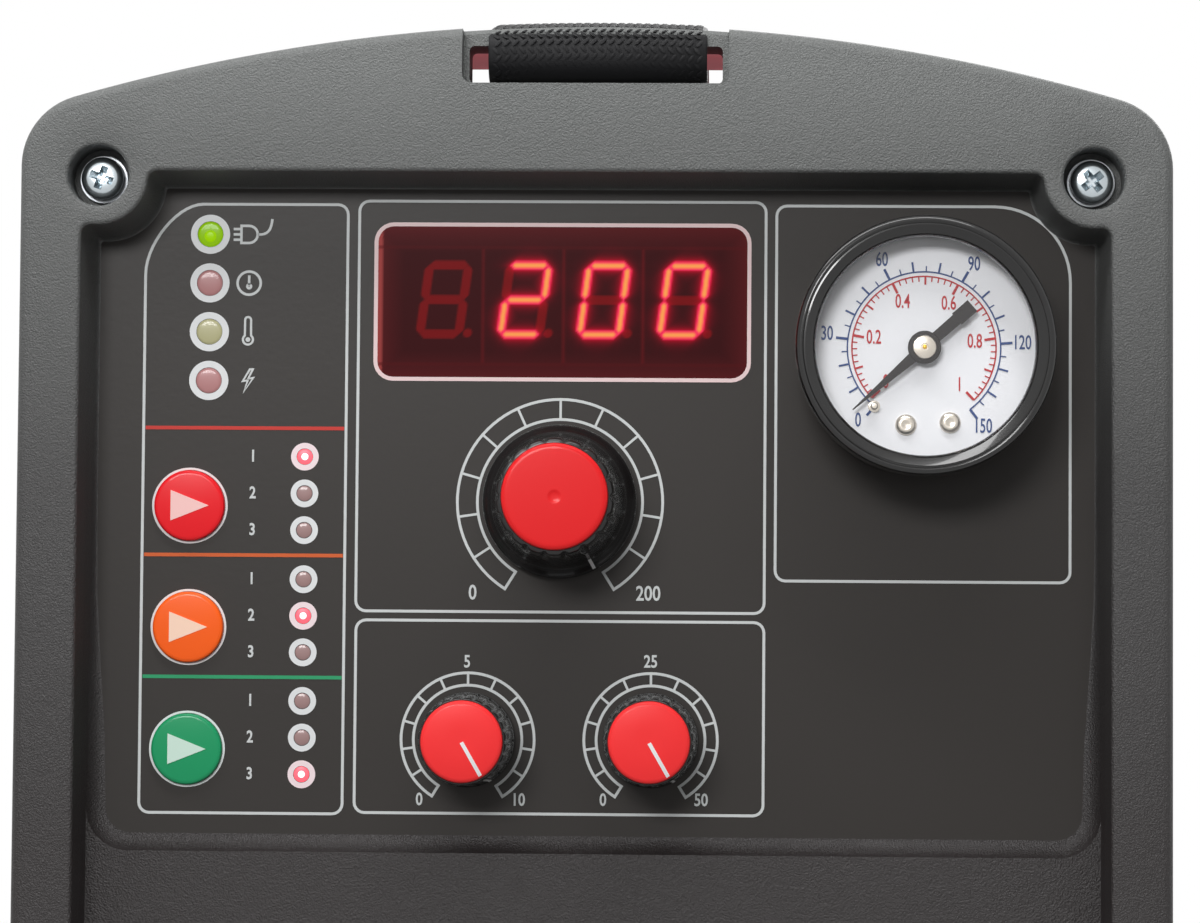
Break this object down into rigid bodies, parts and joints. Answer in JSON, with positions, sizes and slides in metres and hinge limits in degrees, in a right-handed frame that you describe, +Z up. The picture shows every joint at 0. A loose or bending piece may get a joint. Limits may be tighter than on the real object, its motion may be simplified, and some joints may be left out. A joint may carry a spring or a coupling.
{
  "type": "tig welding machine",
  "caption": "Portable inverter TIG welding power source with a control panel, digital ammeter, dials, pressure gauge, red case and webbing carry strap.",
  "frame": {"origin": "under the middle of the machine, at floor level", "axes": "+Z up, +Y from the control panel to the rear, +X to the right as the panel is faced"},
  "size_m": [0.19, 0.42, 0.3139],
  "materials": {
    "bezel_plastic": "fine grained",
    "cover_red": "satin",
    "zinc_steel": "zinc plated",
    "black_rubber": "matte",
    "dark_screws": "blackened",
    "webbing": "braided",
    "panel_print": "satin",
    "red_filter": "polished",
    "digit_black": "matte",
    "lamp_green": "polished",
    "lamp_red": "polished",
    "button_red": "polished",
    "button_orange": "polished",
    "button_green": "polished",
    "board_green": "satin",
    "black_plastic": "satin",
    "gloss_black": "polished",
    "cap_red": "satin",
    "shaft_steel": "plain",
    "dial_white": "satin",
    "nickel": "plain",
    "clear_glass": "polished",
    "brass": "plain",
    "sink_aluminium": "plain",
    "blue_sleeve": "satin",
    "ferrite": "matte",
    "copper": "plain",
    "blue_tube": "satin",
    "clear_bowl": "polished",
    "rocker_red": "polished",
    "cast_grey": "cast"
  },
  "bodies": {
    "case": {"front_bezel": "bezel_plastic", "rear_bezel": "bezel_plastic", "cover": "cover_red", "base_tray": "zinc_steel", "end_plates": "zinc_steel", "feet": "black_rubber", "case_screws": "dark_screws", "nuts": "zinc_steel", "corner_screws": "zinc_steel", "washers": "zinc_steel", "carry_strap": "webbing", "strap_brackets": "cover_red", "control_panel": "panel_print", "display_window": "red_filter", "digit_modules": "digit_black", "status_lamps": "lamp_green", "mode_lamps": "lamp_red", "boards": "board_green", "board_parts": "black_plastic", "dial_pots": "shaft_steel", "pot_nuts": "nickel", "gauge_case": "gloss_black", "gauge_rim": "gloss_black", "gauge_dial": "dial_white", "gauge_studs": "nickel", "gauge_glass": "clear_glass", "gauge_stem": "brass", "socket_bodies": "black_plastic", "socket_inserts": "brass", "gas_outlet": "brass", "control_socket": "cast_grey", "fan_frame": "black_plastic", "fan_grille": "zinc_steel", "switch_housing": "black_plastic", "rear_fittings": "brass", "regulator_body": "cast_grey", "regulator_bowl": "clear_bowl", "heatsinks": "sink_aluminium", "capacitors": "blue_sleeve", "transformer_core": "ferrite", "copper_parts": "copper", "inner_blocks": "black_plastic", "gas_valve": "brass", "air_tubes": "blue_tube"},
    "amps_dial": {"amps_knob": "gloss_black", "amps_cap": "cap_red", "amps_shaft": "shaft_steel"},
    "slope_dial": {"slope_knob": "gloss_black", "slope_cap": "cap_red", "slope_shaft": "shaft_steel"},
    "flow_dial": {"flow_knob": "gloss_black", "flow_cap": "cap_red", "flow_shaft": "shaft_steel"},
    "mode_push": {"mode_button": "button_red"},
    "remote_push": {"remote_button": "button_orange"},
    "pulse_push": {"pulse_button": "button_green"},
    "needle": {"gauge_needle": "gloss_black"},
    "rotor": {"fan_rotor": "black_plastic"},
    "rocker": {"switch_rocker": "rocker_red"},
    "air_knob": {"regulator_knob": "black_plastic"}
  },
  "joints": [
    {"name": "amps_turn", "type": "hinge", "parent": "case", "child": "amps_dial", "pos_m": [-0.00574, -0.1867, 0.22138], "axis": [0, 1, 0], "range_deg": [-296, 0]},
    {"name": "slope_turn", "type": "hinge", "parent": "case", "child": "slope_dial", "pos_m": [-0.02082, -0.1867, 0.1817], "axis": [0, 1, 0], "range_deg": [-296, 0]},
    {"name": "flow_turn", "type": "hinge", "parent": "case", "child": "flow_dial", "pos_m": [0.00965, -0.1867, 0.1818], "axis": [0, 1, 0], "range_deg": [-296, 0]},
    {"name": "mode_press", "type": "slide", "parent": "case", "child": "mode_push", "axis": [0, 1, 0], "range_m": [0, 0.0008], "stiffness_N_per_m": 400, "springref_m": -0.001},
    {"name": "remote_press", "type": "slide", "parent": "case", "child": "remote_push", "axis": [0, 1, 0], "range_m": [0, 0.0008], "stiffness_N_per_m": 400, "springref_m": -0.001},
    {"name": "pulse_press", "type": "slide", "parent": "case", "child": "pulse_push", "axis": [0, 1, 0], "range_m": [0, 0.0008], "stiffness_N_per_m": 400, "springref_m": -0.001},
    {"name": "needle_swing", "type": "hinge", "parent": "case", "child": "needle", "pos_m": [0.0541, -0.1867, 0.2464], "axis": [0, 1, 0], "range_deg": [0, 264], "stiffness_Nm_per_rad": 0.0001, "springref_deg": -5.73},
    {"name": "fan_spin", "type": "hinge", "parent": "case", "child": "rotor", "pos_m": [0, 0.141, 0.095], "axis": [0, 1, 0], "continuous": true},
    {"name": "rocker_tilt", "type": "hinge", "parent": "case", "child": "rocker", "pos_m": [-0.05, 0.153, 0.231], "axis": [1, 0, 0], "range_deg": [-18, 0]},
    {"name": "air_turn", "type": "hinge", "parent": "case", "child": "air_knob", "pos_m": [0.055, 0.1805, 0.2403], "axis": [0, 0, 1], "range_deg": [0, 720]}
  ]
}
